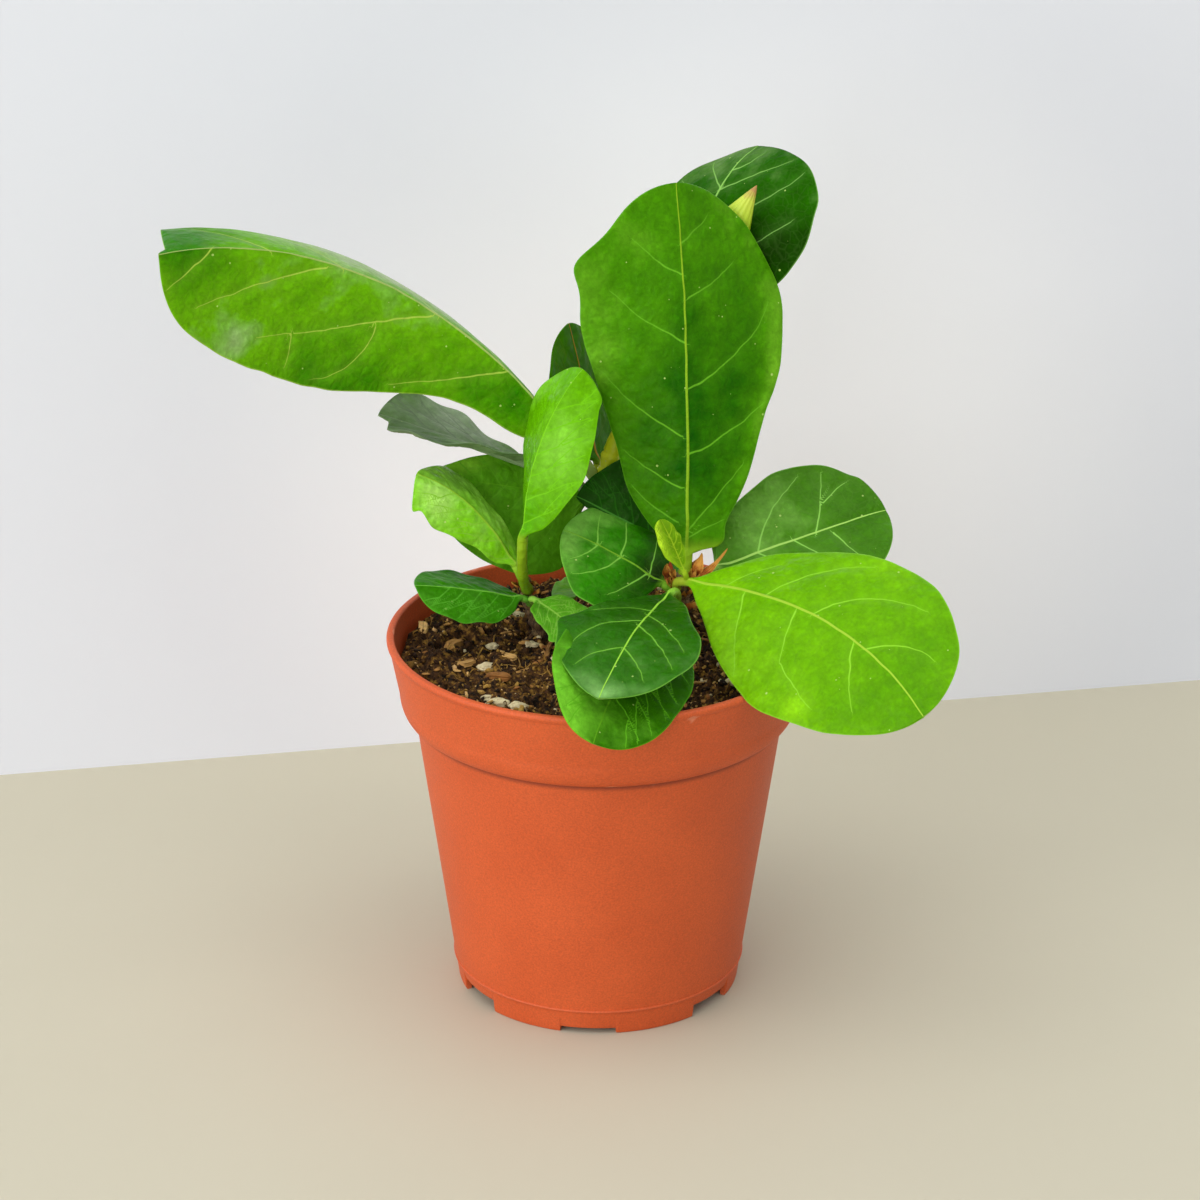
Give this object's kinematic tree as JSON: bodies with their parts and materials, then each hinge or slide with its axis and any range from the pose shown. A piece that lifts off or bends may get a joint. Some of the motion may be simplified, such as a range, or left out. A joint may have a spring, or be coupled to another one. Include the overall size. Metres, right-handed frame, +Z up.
{
  "type": "potted fiddle leaf fig",
  "caption": "Young fiddle leaf fig with broad glossy leaves on short woody shoots, standing in peat in a thin round nursery pot with a wide collar.",
  "frame": {"origin": "centre of the whole plant's bounding box, on the plane that the pot's foot stands on; the pot's axis stands 11.7 mm to +X and 3.9 mm to -Y of it", "axes": "+Z up, +X to the right of a viewer who sees the plant from its best side, -Y towards that viewer"},
  "size_m": [0.1909, 0.132, 0.2012],
  "materials": {
    "pot_plastic": "satin",
    "peat": "matte",
    "woody_bark": "matte",
    "green_stem": "satin",
    "leaf_dark": "satin",
    "leaf_mid": "satin",
    "leaf_bright": "gloss",
    "dry_scale": "matte",
    "bark_chip": "matte",
    "perlite_white": "matte"
  },
  "bodies": {
    "root": {"bark_1": "bark_chip", "bark_2": "bark_chip", "bark_3": "bark_chip", "bark_4": "bark_chip", "bark_5": "bark_chip", "bark_6": "bark_chip", "bud_left": "green_stem", "bud_side": "green_stem", "bud_top": "green_stem", "leaf_back_upright": "leaf_dark", "leaf_bright_upright": "leaf_bright", "leaf_dark_middle": "leaf_dark", "leaf_dark_right": "leaf_dark", "leaf_drooping_front": "leaf_dark", "leaf_glossy_left": "leaf_bright", "leaf_grey_left": "leaf_dark", "leaf_lime_right": "leaf_bright", "leaf_long_left": "leaf_mid", "leaf_low_left": "leaf_mid", "leaf_olive_back": "leaf_dark", "leaf_round_middle": "leaf_dark", "leaf_small_front": "leaf_mid", "leaf_small_middle": "leaf_dark", "leaf_tall_centre": "leaf_mid", "leaf_top_back": "leaf_dark", "leaf_veined_front": "leaf_dark", "leaf_young_folded": "leaf_bright", "perlite_1": "perlite_white", "perlite_10": "perlite_white", "perlite_2": "perlite_white", "perlite_3": "perlite_white", "perlite_4": "perlite_white", "perlite_5": "perlite_white", "perlite_6": "perlite_white", "perlite_7": "perlite_white", "perlite_8": "perlite_white", "perlite_9": "perlite_white", "pot": "pot_plastic", "scale_back": "dry_scale", "scale_front": "dry_scale", "scale_left": "dry_scale", "scale_long": "dry_scale", "scale_right": "dry_scale", "soil": "peat", "stem_left": "woody_bark", "stem_main": "woody_bark", "stem_right": "woody_bark", "stem_young": "green_stem", "twig": "bark_chip"}
  },
  "joints": []
}
